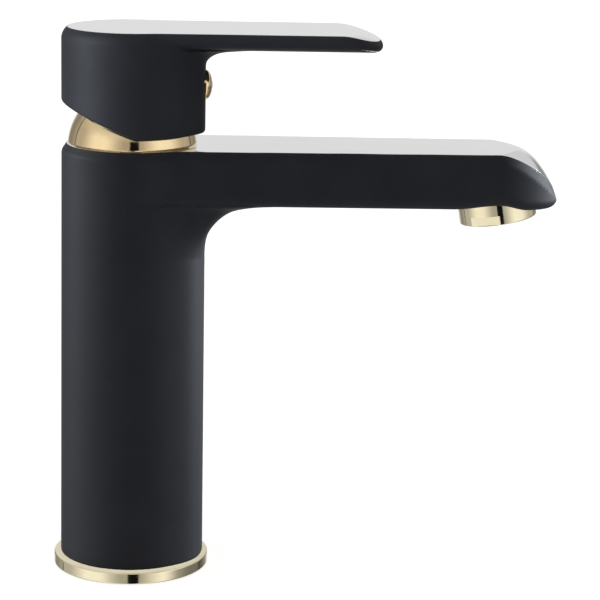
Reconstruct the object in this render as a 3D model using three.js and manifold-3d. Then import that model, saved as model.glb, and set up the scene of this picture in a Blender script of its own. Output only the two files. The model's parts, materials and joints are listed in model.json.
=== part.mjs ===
// Single-lever basin mixer with a ceramic-disc cartridge.
// Millimetres. +Z is up, +X runs along the spout, and the origin is on the column's axis at deck level.
import * as THREE from 'three';
import { mergeVertices } from 'three/addons/utils/BufferGeometryUtils.js';
import Module from 'manifold-3d';

const wasm = await Module();
wasm.setup();

// Clearances
const GAP = 0.3; // between pieces that sit against each other
const TURN_GAP = 0.4; // round pieces that turn or slide inside another
const SPHERE_GAP = 0.6; // between the dome and the handle that swings over it
const THROUGH = 1; // how far a cutter runs past the face that it opens

// Facets round a circle, by size
const FINE = 48;
const MEDIUM = 32;
const SMALL = 16;

// Column
const COLUMN_R = 24;
const COLUMN_SPREAD = 0.5; // extra radius at the foot
const COLUMN_WALL = 3.6;
const BODY_TOP = 148.8;
const EDGE_INSET = 2; // chamfer round the top faces of body and handle, across
const EDGE_DROP = 2.2; // the same chamfer, down

// Base ring and gasket
const RING_LEDGE = 2.35; // how far the ring stands out past the column's foot
const RING_TOP = 4.25;
const RING_WALL = 1.35;
const RING_EDGE = 0.6;
const GASKET_T = 2.2;
const SPIGOT_STEP = 4; // column's foot down to the spigot that centres the ring
const SPIGOT_WALL = 2.2;

// Column floor: two inlet sockets and a stud socket
const FLOOR_Z = 10;
const FLOOR_T = 8;
const BOSS_END_Z = 1;
const INLET_X = -7;
const INLET_Y = 8;
const INLET_BOSS_R = 6.3;
const INLET_SOCKET_R = 4.4;
const INLET_SOCKET_DEPTH = 14;
const WATERWAY_R = 3.2;
const SEAT_BLOCK_T = 12; // solid metal under the cartridge
const STUD_X = 11;
const STUD_BOSS_R = 6;
const STUD_SOCKET_R = 3.4;
const STUD_SOCKET_DEPTH = 16;
const CORE_HOLE_R = 3.5;
const CORE_HOLE_X = 5.5;
const CORE_HOLE_Y = 14.5;

// Spout
const SPOUT_TIP_X = 145.3;
const SPOUT_T = 20.5; // on its centre line
const SPOUT_ROOT_HALF = 20.9; // half-width on the column's axis
const SPOUT_TIP_HALF = 17.6; // half-width that the sides run towards at the tip
const SPOUT_UNDER_R = 3.2; // rounded lower edges
const SPOUT_UNDER_BOW = 0.0067; // rise of the underside per square of the distance from the centre line
const SPOUT_NOSE = { length: 20.9, power: 1.75, crown: 15.6, drop: 16.6, fall: 2, bow: 0.023, lip: 3.2 };
const SPOUT_FLARE_R = 18;
const ARCH_RISE = 1.4; // hollow of the underside round the aerator
const ARCH_BACK = 16; // from the arch's middle back to where it starts
const ARCH_FRONT = 9.5;
const ARCH_STEP = 1; // arch's middle behind the aerator's
const DUCT_HALF = 13;
const DUCT_TOP_WALL = 4;
const DUCT_H = 11.5;

// Aerator, measured along its own axis from the outlet rim
const AERATOR_SETBACK = 20; // from the spout's tip back to the rim's centre
const AERATOR_RIM_Z = 24.5; // from the body's top face down to the rim's centre
const AERATOR_TILT = THREE.MathUtils.degToRad(9.5);
const AERATOR_R = 13.2;
const AERATOR_THREAD_STEP = 1.2;
const AERATOR_WALL = 1.3;
const AERATOR_LIP = 1;
const AERATOR_LIP_T = 1.6;
const AERATOR_HEAD_T = 7.5;
const AERATOR_T = 14;
const CAGE_T = 9.6;
const MESH_T = 0.8;
const AERATOR_WASHER_T = 1.6;
const WRENCH_FLAT_DEPTH = 1;
const WRENCH_FLAT_T = 3.2;
const WRENCH_FLAT_ANGLE = THREE.MathUtils.degToRad(-114.6);

// Dome over the cartridge. Its centre is the lever's pivot
const PIVOT_DROP = 1.8; // below the body's top face
const DOME_T = 1.2;
const DOME_HOLE_MARGIN = 0.5; // dome's hole wider than the pocket in the handle
const DOME_SEAT_T = 1.8;

// Cartridge, built down from the pivot
const CARTRIDGE_R = 17.4;
const CARTRIDGE_WALL = 1.8;
const CARTRIDGE_SHOULDER = 1.9; // width of the shoulder that the nut holds
const SHOULDER_DROP = 3.5; // pivot down to that shoulder
const HOUSING_TOP_T = 1.6;
const NECK_RISE = 2.5; // pivot to the top of the neck
const BASE_T = 5;
const LOCATING_PIN_R = 1.5;
const LOCATING_PIN_T = 2.5;
const LOCATING_PIN_INSET = 3.4;
const SEAL_T = 1;
const PORT_X = -5.5;
const PORT_Y = 6;
const PORT_R = 2.8;
const OUTLET_PORT_X = 7;
const OUTLET_PORT_R = 3.2;
const SEAL_BAND = 1.5;
const DISC_MARGIN = 1.6; // housing wall to fixed disc
const DISC_T = 3.2;
const DISC_STEP = 3; // moving disc smaller than the fixed one
const CARRIER_T = 4;
const STEM_ARM = 10.5; // pivot down to the ball that drives the disc carrier
const SLIDE_TRAVEL = 4.3;
const BALL_R = 2.9;
const STEM_NECK_R = 3.4;
const STEM_SQUARE = 8;
const STEM_TOP = 29; // above the pivot
const PIN_R = 1.5;
const LIFT_LIMIT = THREE.MathUtils.degToRad(23);
const ROTOR_R = 10.5;
const ROTOR_MARGIN = 2; // housing wall to the rotor's flange
const ROTOR_FLANGE_T = 2.8;
const ROTOR_TOP = 4; // above the pivot
const NUT_WALL = 1.4;
const NUT_FLANGE = 0.8;
const NUT_FLANGE_T = 2.1;
const LIMIT_RING_INSET = 0.9;
const LIMIT_RING_T = 2;
const LIMIT_TEETH = 24;
const LIMIT_TOOTH = 0.7;
const STOP_KEY = 1.9; // how far the rotor's key stands out
const STOP_KEY_HALF = THREE.MathUtils.degToRad(8);
const SWIVEL_LIMIT = THREE.MathUtils.degToRad(45);

// Handle, placed from the body's top face
const SKIRT_RISE = 4.4; // gap under the front of the skirt
const SKIRT_CUT = THREE.MathUtils.degToRad(21.5); // slope of the cut that lets the lever tip back
const SKIRT_CUT_X = 1.5;
const HANDLE_H = 39.3; // body top face to handle top face
const LEVER_TIP_X = 85.2;
const LEVER_T = 7.1; // on its centre line
const LEVER_ROOT_INSET = 1.4; // from the handle's radius in to the lever's side
const LEVER_TIP_INSET = 1.8;
const LEVER_UNDER_R = 2.6;
const LEVER_UNDER_BOW = 0.0055;
const LEVER_NOSE = { length: 12, power: 2, crown: 13, drop: 4, fall: 2, bow: 0.008, lip: 2.4 };
const LEVER_FLARE_R = 6;
const FRONT_STEP = 0.6; // the flat front stands this far out of the round skirt
const FRONT_HALF = 15;
const HANDLE_SHELL = 5;
const HANDLE_WALL = 8;
const HANDLE_BOSS_R = 7;
const HANDLE_BOSS_END = 10; // above the pivot
const SCREW_RISE = 21.8; // pivot up to the set screw's axis
const SCREW_R = 2.5;
const SCREW_LEN = 9;
const SCREW_KEY_R = 1.3;
const SCREW_KEY_DEPTH = 3;
const SCREW_RIB_HALF = 5;
const BUTTON_R = 5.05;
const BUTTON_DEPTH = 3.4;
const BUTTON_BULGE = 2.3;
const INSERT_R = 1.7;
const INSERT_T = 1.2;

// Radii that follow from the sizes above
const COLUMN_FOOT_R = COLUMN_R + COLUMN_SPREAD;
const RING_R = COLUMN_FOOT_R + RING_LEDGE;
const SPIGOT_R = COLUMN_FOOT_R - SPIGOT_STEP;
const AERATOR_THREAD_R = AERATOR_R - AERATOR_THREAD_STEP;
const AERATOR_BORE_R = AERATOR_THREAD_R - AERATOR_WALL;
const HOUSING_INNER_R = CARTRIDGE_R - CARTRIDGE_WALL;
const CARTRIDGE_NECK_R = CARTRIDGE_R - CARTRIDGE_SHOULDER;
const CARTRIDGE_BORE_R = CARTRIDGE_R + TURN_GAP;
const LOCATING_PIN_Y = CARTRIDGE_R - LOCATING_PIN_INSET;
const FIXED_DISC_R = HOUSING_INNER_R - DISC_MARGIN;
const MOVING_DISC_R = FIXED_DISC_R - DISC_STEP;
const ROTOR_FLANGE_R = HOUSING_INNER_R - ROTOR_MARGIN;
const NUT_THREAD_R = CARTRIDGE_BORE_R + NUT_WALL;
const NUT_BORE_R = NUT_THREAD_R + GAP;
const LIMIT_RING_R = CARTRIDGE_NECK_R - LIMIT_RING_INSET;
const DOME_R = COLUMN_R - EDGE_INSET;
const DOME_SEAT_R = NUT_THREAD_R + NUT_FLANGE + GAP;
const HANDLE_R = COLUMN_R;
const HANDLE_POCKET_R = HANDLE_R - HANDLE_WALL;
const DOME_HOLE_R = HANDLE_POCKET_R + DOME_HOLE_MARGIN;
const FRONT_X = HANDLE_R + FRONT_STEP;

// Heights and places that follow from the sizes above
const PIVOT_Z = BODY_TOP - PIVOT_DROP;
const SPOUT_UNDER_Z = BODY_TOP - SPOUT_T;
const SHOULDER_Z = PIVOT_Z - SHOULDER_DROP;
const NECK_TOP_Z = PIVOT_Z + NECK_RISE;
const HOUSING_ROOF_Z = SHOULDER_Z - HOUSING_TOP_T;
const ROTOR_FLANGE_Z = HOUSING_ROOF_Z - GAP - ROTOR_FLANGE_T;
const BALL_Z = PIVOT_Z - STEM_ARM;
const CARRIER_BOSS_TOP_Z = BALL_Z + BALL_R - 1;
const CARRIER_Z = BALL_Z - BALL_R - CARRIER_T - 1;
const MOVING_DISC_Z = CARRIER_Z - GAP - DISC_T;
const FIXED_DISC_Z = MOVING_DISC_Z - GAP - DISC_T;
const HOUSING_FOOT_Z = FIXED_DISC_Z;
const BASE_Z = FIXED_DISC_Z - GAP - BASE_T;
const SEAT_Z = BASE_Z - GAP;
const COLUMN_FOOT_Z = RING_TOP + GAP;
const HANDLE_TOP = BODY_TOP + HANDLE_H;
const LEVER_UNDER_Z = HANDLE_TOP - LEVER_T;
const SCREW_Z = PIVOT_Z + SCREW_RISE;
const STEM_HALF = STEM_SQUARE / 2;
// Where the round neck becomes square: the square's corner clears the rotor with the lever fully up
const STEM_SHOULDER = (ROTOR_TOP + TURN_GAP + STEM_HALF * Math.sin(LIFT_LIMIT)) / Math.cos(LIFT_LIMIT);
const AERATOR_AT = new THREE.Vector3(SPOUT_TIP_X - AERATOR_SETBACK, 0, BODY_TOP - AERATOR_RIM_Z);
const AERATOR_SOCKET_T = AERATOR_T + GAP + AERATOR_WASHER_T + GAP;

// Finishes
function finish(color, roughness, metalness) {
  return new THREE.MeshStandardMaterial({ color, roughness, metalness });
}

const BLACK_PAINT = finish(0x26272b, 0.42, 0);
const GOLD = finish(0xd9b878, 0.12, 1);
const BRASS = finish(0xb8985a, 0.35, 1);
const RUBBER = finish(0x1c1c1c, 0.85, 0);
const CERAMIC = finish(0xe8e6df, 0.3, 0);
const WHITE_PLASTIC = finish(0xdcdcd6, 0.5, 0);
const GREY_PLASTIC = finish(0x8a8d90, 0.5, 0);
const STEEL = finish(0xb9bcbf, 0.3, 1);
const RED_PLASTIC = finish(0x6d1a14, 0.35, 0);

// ---- Geometry helpers ----

// Turns a geometry's faces outward, by the sign of its volume.
function outward(positions, indices) {
  const corners = [new THREE.Vector3(), new THREE.Vector3(), new THREE.Vector3()];
  let volume = 0;
  for (let i = 0; i < indices.length; i += 3) {
    corners.forEach((corner, k) => corner.fromArray(positions, 3 * indices[i + k]));
    volume += corners[0].dot(corners[1].cross(corners[2]));
  }
  return volume < 0 ? indices.slice().reverse() : indices;
}

function solidOf(geometry) {
  const bare = geometry.clone();
  bare.deleteAttribute('normal');
  bare.deleteAttribute('uv');
  const merged = mergeVertices(bare);
  const all = Array.from(merged.index.array);
  const kept = [];
  for (let i = 0; i < all.length; i += 3) {
    const [a, b, c] = all.slice(i, i + 3);
    if (a !== b && b !== c && c !== a) kept.push(a, b, c);
  }
  const vertProperties = new Float32Array(merged.attributes.position.array);
  const triVerts = new Uint32Array(outward(vertProperties, kept));
  return new wasm.Manifold(new wasm.Mesh({ numProp: 3, vertProperties, triVerts }));
}

function meshOf(name, solid, material) {
  const result = solid.getMesh();
  const geometry = new THREE.BufferGeometry();
  geometry.setAttribute('position', new THREE.BufferAttribute(result.vertProperties.slice(), 3));
  geometry.setIndex(new THREE.BufferAttribute(result.triVerts.slice(), 1));
  geometry.computeVertexNormals();
  const mesh = new THREE.Mesh(geometry, material);
  mesh.name = name;
  return mesh;
}

const joined = (solids) => solids.reduce((whole, solid) => whole.add(solid));
const cut = (solid, cutters) => cutters.reduce((left, cutter) => left.subtract(cutter), solid);

// A solid of revolution about Z from [radius, height] pairs. A ring's profile closes on its first point.
function turned(profile, segments = MEDIUM) {
  const onAxis = profile[0][0] === 0 && profile.at(-1)[0] === 0;
  const points = (onAxis ? profile : [...profile, profile[0]]).map(([r, z]) => new THREE.Vector2(r, z));
  return solidOf(new THREE.LatheGeometry(points, segments).rotateX(Math.PI / 2));
}

function rod(radius, z0, z1, { x = 0, y = 0, segments = SMALL } = {}) {
  const geometry = new THREE.CylinderGeometry(radius, radius, z1 - z0, segments);
  return solidOf(geometry.rotateX(Math.PI / 2).translate(x, y, (z0 + z1) / 2));
}

function rodAlongX(radius, x0, x1, z, segments = SMALL) {
  const geometry = new THREE.CylinderGeometry(radius, radius, x1 - x0, segments);
  return solidOf(geometry.rotateZ(Math.PI / 2).translate((x0 + x1) / 2, 0, z));
}

function rodAlongY(radius, halfLength, z, segments = SMALL) {
  const geometry = new THREE.CylinderGeometry(radius, radius, 2 * halfLength, segments);
  return solidOf(geometry.translate(0, 0, z));
}

function block([x0, x1], [y0, y1], [z0, z1]) {
  const geometry = new THREE.BoxGeometry(x1 - x0, y1 - y0, z1 - z0);
  return solidOf(geometry.translate((x0 + x1) / 2, (y0 + y1) / 2, (z0 + z1) / 2));
}

function ball(radius, z, segments) {
  const geometry = new THREE.SphereGeometry(radius, segments, segments * 2 / 3);
  return solidOf(geometry.rotateX(Math.PI / 2).translate(0, 0, z));
}

function ring(outer, inner, z0, z1, options = {}) {
  const profile = [[inner, z0], [outer, z0], [outer, z1], [inner, z1]];
  const solid = turned(profile, options.segments ?? MEDIUM);
  return solid.translate([options.x ?? 0, options.y ?? 0, 0]);
}

// Joins rings of equal point counts, one after another, and closes both ends with a fan.
function lofted(rings) {
  const count = rings[0].length;
  const positions = rings.flat().flatMap((point) => point.toArray());
  const indices = [];
  for (let level = 0; level + 1 < rings.length; level += 1) {
    for (let i = 0; i < count; i += 1) {
      const next = (i + 1) % count;
      const here = level * count;
      const there = here + count;
      indices.push(here + i, here + next, there + next, here + i, there + next, there + i);
    }
  }
  [[0, true], [rings.length - 1, false]].forEach(([level, first]) => {
    const centre = positions.length / 3;
    const middle = rings[level].reduce((sum, point) => sum.add(point), new THREE.Vector3());
    positions.push(...middle.divideScalar(count).toArray());
    for (let i = 0; i < count; i += 1) {
      const a = level * count + i;
      const b = level * count + (i + 1) % count;
      indices.push(centre, ...(first ? [b, a] : [a, b]));
    }
  });
  const geometry = new THREE.BufferGeometry();
  geometry.setAttribute('position', new THREE.BufferAttribute(new Float32Array(positions), 3));
  geometry.setIndex(indices);
  return solidOf(geometry);
}

// ---- The bar shape that spout and lever share ----

// Half-width of the bar at x: straight tapered sides, then a rounded nose.
function barHalf(bar, x) {
  const side = THREE.MathUtils.mapLinear(x, 0, bar.tipX, bar.rootHalf, bar.tipHalf);
  const along = Math.max(0, (x - bar.tipX + bar.nose.length) / bar.nose.length);
  return side * (1 - along ** bar.nose.power) ** (1 / bar.nose.power);
}

// Height of the top face. It falls towards the tip, and sooner at its edges than in the middle.
function barTop(bar, x, y) {
  const past = x + bar.nose.bow * y * y - (bar.tipX - bar.nose.crown);
  return bar.topZ - bar.nose.drop * Math.max(0, past / bar.nose.crown) ** bar.nose.fall;
}

// Rise of the hollow round the aerator: none at its two ends and the most in its middle.
function archRise({ x: middle, back, front, rise }, x) {
  const off = (x - middle) / (x < middle ? -back : front);
  return off < 1 ? rise * Math.cos(off * Math.PI / 2) ** 2 : 0;
}

// Height of the underside: bowed across, with an arch where one is asked for and a rounded lip at the tip.
function barUnder(bar, x, y) {
  const { lip } = bar.nose;
  const past = Math.min(lip, Math.max(0, x - (bar.tipX - lip)));
  const lipRise = lip - Math.sqrt(lip * lip - past * past);
  const hollow = bar.arch ? archRise(bar.arch, x) : 0;
  return bar.underZ + bar.underBow * y * y + lipRise + hollow;
}

// One section across the bar, as a closed ring of points.
function barSection(bar, x) {
  const half = barHalf(bar, x);
  const under = barUnder(bar, x, half - Math.min(bar.underR, half / 2));
  const inset = Math.min(EDGE_INSET, half / 2);
  const topHalf = half - inset;
  const topEdge = Math.max(barTop(bar, x, topHalf), under + 0.4);
  const sideTop = Math.max(topEdge - EDGE_DROP, under + (topEdge - under) * 0.6);
  const corner = Math.min(bar.underR, half / 2, (sideTop - under) * 0.8);
  const side = [[(half - corner) / 2, barUnder(bar, x, (half - corner) / 2)]];
  for (let step = 0; step <= 4; step += 1) {
    const angle = step / 4 * Math.PI / 2;
    side.push([half - corner + corner * Math.sin(angle), under + corner - corner * Math.cos(angle)]);
  }
  side.push([half, sideTop], [topHalf, topEdge]);
  side.push([topHalf / 2, Math.max(barTop(bar, x, topHalf / 2), topEdge)]);
  const mirrored = side.map(([y, z]) => [-y, z]).reverse();
  const keel = [[0, barUnder(bar, x, 0)]];
  const crest = [[0, Math.max(barTop(bar, x, 0), topEdge)]];
  return [...keel, ...side, ...crest, ...mirrored].map(([y, z]) => new THREE.Vector3(x, y, z));
}

function barSolid(bar) {
  const noseStart = bar.tipX - bar.nose.length;
  const stations = [0, bar.tipX * 0.3, bar.tipX * 0.55];
  if (bar.arch) {
    for (let i = 0; i <= 5; i += 1) stations.push(bar.arch.x - bar.arch.back * (1 - i / 5));
  }
  const lastBefore = stations.at(-1);
  for (let i = 0; i <= 14; i += 1) {
    const along = Math.sin(i / 14 * Math.PI / 2) * 0.9995;
    const x = noseStart + bar.nose.length * along;
    if (x > lastBefore + 0.2) stations.push(x);
  }
  return lofted(stations.map((x) => barSection(bar, x)));
}

// The rounded web between an upright wall and the underside of a bar, as stacked outlines.
function flareSolid({ radius, wallX, half, flareR, underZ, underBow, drop }) {
  const rings = [];
  const levels = 10;
  for (let level = -1; level <= levels + 1; level += 1) {
    const share = THREE.MathUtils.clamp(level / levels, 0, 1);
    const height = flareR * Math.sin(share * Math.PI / 2);
    const reach = wallX + flareR * (1 - Math.cos(share * Math.PI / 2));
    const z = underZ - flareR + height + (level < 0 ? -drop : 0) + (level > levels ? GAP : 0);
    const power = THREE.MathUtils.lerp(3, 6, share);
    const outline = [];
    for (let i = 0; i < FINE; i += 1) {
      const angle = i / FINE * 2 * Math.PI;
      const [c, s] = [Math.cos(angle), Math.sin(angle)];
      const web = ((Math.abs(c) / reach) ** power + (Math.abs(s) / half) ** power) ** (-1 / power);
      const r = c > 0 ? Math.max(radius, web) : radius;
      outline.push(new THREE.Vector3(r * c, r * s, z + underBow * (r * s) ** 2));
    }
    rings.push(outline);
  }
  return lofted(rings);
}

// ---- Body ----

const SPOUT = {
  tipX: SPOUT_TIP_X,
  rootHalf: SPOUT_ROOT_HALF,
  tipHalf: SPOUT_TIP_HALF,
  topZ: BODY_TOP,
  underZ: SPOUT_UNDER_Z,
  underR: SPOUT_UNDER_R,
  underBow: SPOUT_UNDER_BOW,
  nose: SPOUT_NOSE,
  arch: { x: AERATOR_AT.x - ARCH_STEP, back: ARCH_BACK, front: ARCH_FRONT, rise: ARCH_RISE },
};

// Moves a solid made about Z, with the outlet rim at height 0, to the aerator's tilted place.
function atAerator(solid) {
  const turn = new THREE.Matrix4().makeRotationY(-AERATOR_TILT);
  turn.setPosition(AERATOR_AT);
  return solid.transform(turn.toArray());
}

function columnOuter() {
  return turned([
    [0, COLUMN_FOOT_Z],
    [COLUMN_FOOT_R, COLUMN_FOOT_Z],
    [COLUMN_R, BODY_TOP - EDGE_DROP],
    [COLUMN_R - EDGE_INSET, BODY_TOP],
    [0, BODY_TOP],
  ], FINE);
}

function columnHollow() {
  const inner = COLUMN_R - COLUMN_WALL;
  const blockUnder = SEAT_Z - SEAT_BLOCK_T;
  const hollow = rod(inner, FLOOR_Z + FLOOR_T, blockUnder, { segments: MEDIUM });
  const foot = rod(SPIGOT_R - SPIGOT_WALL, RING_TOP - GASKET_T - THROUGH, FLOOR_Z, { segments: MEDIUM });
  return joined([hollow, foot]);
}

function inletPlaces() {
  return [{ x: INLET_X, y: -INLET_Y }, { x: INLET_X, y: INLET_Y }];
}

// Cast tubes that carry the water from the floor up to the cartridge's seat, and the stud's boss.
function columnInsides() {
  const pipes = inletPlaces().map((at) => rod(INLET_BOSS_R, BOSS_END_Z, SEAT_Z - SEAT_BLOCK_T + THROUGH, at));
  const stud = rod(STUD_BOSS_R, BOSS_END_Z, FLOOR_Z + FLOOR_T, { x: STUD_X });
  return joined([...pipes, stud]);
}

function columnBores() {
  const bores = inletPlaces().flatMap((at) => {
    const port = { x: PORT_X, y: Math.sign(at.y) * PORT_Y };
    return [
      rod(INLET_SOCKET_R, BOSS_END_Z - THROUGH, BOSS_END_Z + INLET_SOCKET_DEPTH, at),
      rod(WATERWAY_R, BOSS_END_Z, SEAT_Z - SEAT_BLOCK_T / 2, at),
      rod(PORT_R, SEAT_Z - SEAT_BLOCK_T / 2 - THROUGH, SEAT_Z + THROUGH, port),
    ];
  });
  const stud = rod(STUD_SOCKET_R, BOSS_END_Z - THROUGH, BOSS_END_Z + STUD_SOCKET_DEPTH, { x: STUD_X });
  const cores = [-1, 1].map((side) => {
    const place = { x: CORE_HOLE_X, y: side * CORE_HOLE_Y };
    return rod(CORE_HOLE_R, FLOOR_Z - THROUGH, FLOOR_Z + FLOOR_T + THROUGH, place);
  });
  return [...bores, stud, ...cores];
}

function cartridgeSeat() {
  const bore = rod(CARTRIDGE_BORE_R, SEAT_Z, BODY_TOP + THROUGH, { segments: MEDIUM });
  const thread = rod(NUT_BORE_R, SHOULDER_Z - GAP, BODY_TOP + THROUGH, { segments: MEDIUM });
  const pins = [-1, 1].map((side) => {
    const hole = { x: 0, y: side * LOCATING_PIN_Y, segments: 12 };
    return rod(LOCATING_PIN_R + GAP, BASE_Z - LOCATING_PIN_T - GAP, SEAT_Z + THROUGH, hole);
  });
  return [bore, thread, ...pins];
}

// The water runs up round the cartridge and through this duct to the aerator's socket.
function spoutDuct() {
  const top = SPOUT.topZ - DUCT_TOP_WALL;
  return block([CARTRIDGE_BORE_R - THROUGH, AERATOR_AT.x], [-DUCT_HALF, DUCT_HALF], [top - DUCT_H, top]);
}

function aeratorSocket() {
  const bore = rod(AERATOR_THREAD_R + GAP, -AERATOR_T, AERATOR_SOCKET_T, { segments: MEDIUM });
  const mouth = rod(AERATOR_R + TURN_GAP, -AERATOR_T, AERATOR_HEAD_T + GAP, { segments: MEDIUM });
  return atAerator(joined([bore, mouth]));
}

function bodyCasting() {
  const flare = flareSolid({
    radius: COLUMN_R - GAP,
    wallX: COLUMN_R,
    half: SPOUT_ROOT_HALF - EDGE_INSET,
    flareR: SPOUT_FLARE_R,
    underZ: SPOUT_UNDER_Z,
    underBow: SPOUT_UNDER_BOW,
    drop: GAP,
  });
  const outer = joined([columnOuter(), barSolid(SPOUT), flare]);
  const spigot = ring(SPIGOT_R, SPIGOT_R - SPIGOT_WALL, GASKET_T + GAP, COLUMN_FOOT_Z + THROUGH);
  const shell = joined([cut(outer, [columnHollow()]), spigot, columnInsides()]);
  const cutters = [...columnBores(), ...cartridgeSeat(), spoutDuct(), aeratorSocket()];
  return meshOf('body_casting', cut(shell, cutters), BLACK_PAINT);
}

function baseRing() {
  const solid = turned([
    [SPIGOT_R + GAP, GASKET_T + GAP],
    [RING_R - RING_WALL, GASKET_T + GAP],
    [RING_R - RING_WALL, GAP],
    [RING_R - RING_EDGE / 2, GAP],
    [RING_R, GAP + RING_EDGE / 2],
    [RING_R, RING_TOP - RING_EDGE],
    [RING_R - RING_EDGE * 0.3, RING_TOP - RING_EDGE * 0.3],
    [RING_R - RING_EDGE, RING_TOP],
    [SPIGOT_R + GAP, RING_TOP],
  ], FINE);
  return meshOf('base_ring', solid, GOLD);
}

function baseGasket() {
  const disc = rod(RING_R - RING_WALL - GAP, 0, GASKET_T, { segments: FINE });
  const holes = inletPlaces().map((at) => rod(INLET_BOSS_R + GAP * 2, -THROUGH, GASKET_T + THROUGH, at));
  const studHole = rod(STUD_BOSS_R + GAP * 2, -THROUGH, GASKET_T + THROUGH, { x: STUD_X });
  return meshOf('base_gasket', cut(disc, [...holes, studHole]), RUBBER);
}

// ---- Cartridge ----

function cartridgeBase() {
  const plate = rod(CARTRIDGE_R, BASE_Z, BASE_Z + BASE_T, { segments: MEDIUM });
  const pins = [-1, 1].map((side) => {
    const place = { x: 0, y: side * LOCATING_PIN_Y, segments: 12 };
    return rod(LOCATING_PIN_R, BASE_Z - LOCATING_PIN_T, BASE_Z + THROUGH, place);
  });
  const ports = cartridgePorts().flatMap(({ x, y, r }) => [
    rod(r, BASE_Z - THROUGH, BASE_Z + BASE_T + THROUGH, { x, y }),
    rod(r + SEAL_BAND + GAP, BASE_Z - THROUGH, BASE_Z + SEAL_T + GAP, { x, y }),
  ]);
  return meshOf('cartridge_base', cut(joined([plate, ...pins]), ports), WHITE_PLASTIC);
}

function cartridgePorts() {
  return [
    { name: 'hot_inlet_seal', x: PORT_X, y: -PORT_Y, r: PORT_R },
    { name: 'cold_inlet_seal', x: PORT_X, y: PORT_Y, r: PORT_R },
    { name: 'outlet_seal', x: OUTLET_PORT_X, y: 0, r: OUTLET_PORT_R },
  ];
}

function portSeals() {
  return cartridgePorts().map(({ name, x, y, r }) => {
    return meshOf(name, ring(r + SEAL_BAND, r, BASE_Z, BASE_Z + SEAL_T, { x, y, segments: SMALL }), RUBBER);
  });
}

function fixedDisc() {
  const disc = rod(FIXED_DISC_R, FIXED_DISC_Z, FIXED_DISC_Z + DISC_T, { segments: MEDIUM });
  const ports = cartridgePorts().map(({ x, y, r }) => {
    return rod(r, FIXED_DISC_Z - THROUGH, FIXED_DISC_Z + DISC_T + THROUGH, { x, y });
  });
  return meshOf('fixed_disc', cut(disc, ports), CERAMIC);
}

// The disc and its carrier start half the travel behind the axis, so that they end as far in front of it.
function movingDisc() {
  const x = -SLIDE_TRAVEL / 2;
  const disc = rod(MOVING_DISC_R, MOVING_DISC_Z, MOVING_DISC_Z + DISC_T, { x, segments: MEDIUM });
  const chamber = block(
    [x - PORT_Y, x + OUTLET_PORT_X],
    [-PORT_R, PORT_R],
    [MOVING_DISC_Z - THROUGH, MOVING_DISC_Z + DISC_T / 2],
  );
  return meshOf('moving_disc', cut(disc, [chamber]), CERAMIC);
}

function discCarrier() {
  const x = -SLIDE_TRAVEL / 2;
  const plate = rod(MOVING_DISC_R, CARRIER_Z, CARRIER_Z + CARRIER_T, { x, segments: MEDIUM });
  const boss = rod(BALL_R + 2.4, CARRIER_Z + THROUGH, CARRIER_BOSS_TOP_Z);
  const socket = rod(BALL_R + TURN_GAP, BALL_Z - BALL_R - TURN_GAP, CARRIER_BOSS_TOP_Z + THROUGH);
  return meshOf('disc_carrier', cut(joined([plate, boss]), [socket]), GREY_PLASTIC);
}

function cartridgeHousing() {
  const inner = HOUSING_INNER_R;
  const profile = [
    [inner, HOUSING_FOOT_Z],
    [CARTRIDGE_R, HOUSING_FOOT_Z],
    [CARTRIDGE_R, SHOULDER_Z - GAP],
    [CARTRIDGE_NECK_R, SHOULDER_Z - GAP],
    [CARTRIDGE_NECK_R, NECK_TOP_Z],
    [ROTOR_R + TURN_GAP, NECK_TOP_Z],
    [ROTOR_R + TURN_GAP, HOUSING_ROOF_Z],
    [inner, HOUSING_ROOF_Z],
  ];
  return meshOf('cartridge_housing', turned(profile), WHITE_PLASTIC);
}

function cartridgeNut() {
  const profile = [
    [CARTRIDGE_NECK_R + GAP, SHOULDER_Z],
    [NUT_THREAD_R, SHOULDER_Z],
    [NUT_THREAD_R, BODY_TOP + GAP],
    [DOME_SEAT_R - GAP, BODY_TOP + GAP],
    [DOME_SEAT_R - GAP, BODY_TOP + GAP + NUT_FLANGE_T],
    [CARTRIDGE_NECK_R + GAP, BODY_TOP + GAP + NUT_FLANGE_T],
  ];
  return meshOf('cartridge_nut', turned(profile), BRASS);
}

// A block between two radii and two angles, for the stop key and the window that it turns in.
function sector(inner, outer, half, z0, z1) {
  const steps = 12;
  const shape = new THREE.Shape();
  for (let i = 0; i <= steps; i += 1) {
    const angle = Math.PI - half + 2 * half * i / steps;
    shape[i ? 'lineTo' : 'moveTo'](outer * Math.cos(angle), outer * Math.sin(angle));
  }
  for (let i = steps; i >= 0; i -= 1) {
    const angle = Math.PI - half + 2 * half * i / steps;
    shape.lineTo(inner * Math.cos(angle), inner * Math.sin(angle));
  }
  const geometry = new THREE.ExtrudeGeometry(shape, { depth: z1 - z0, bevelEnabled: false });
  return solidOf(geometry.translate(0, 0, z0));
}

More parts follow.
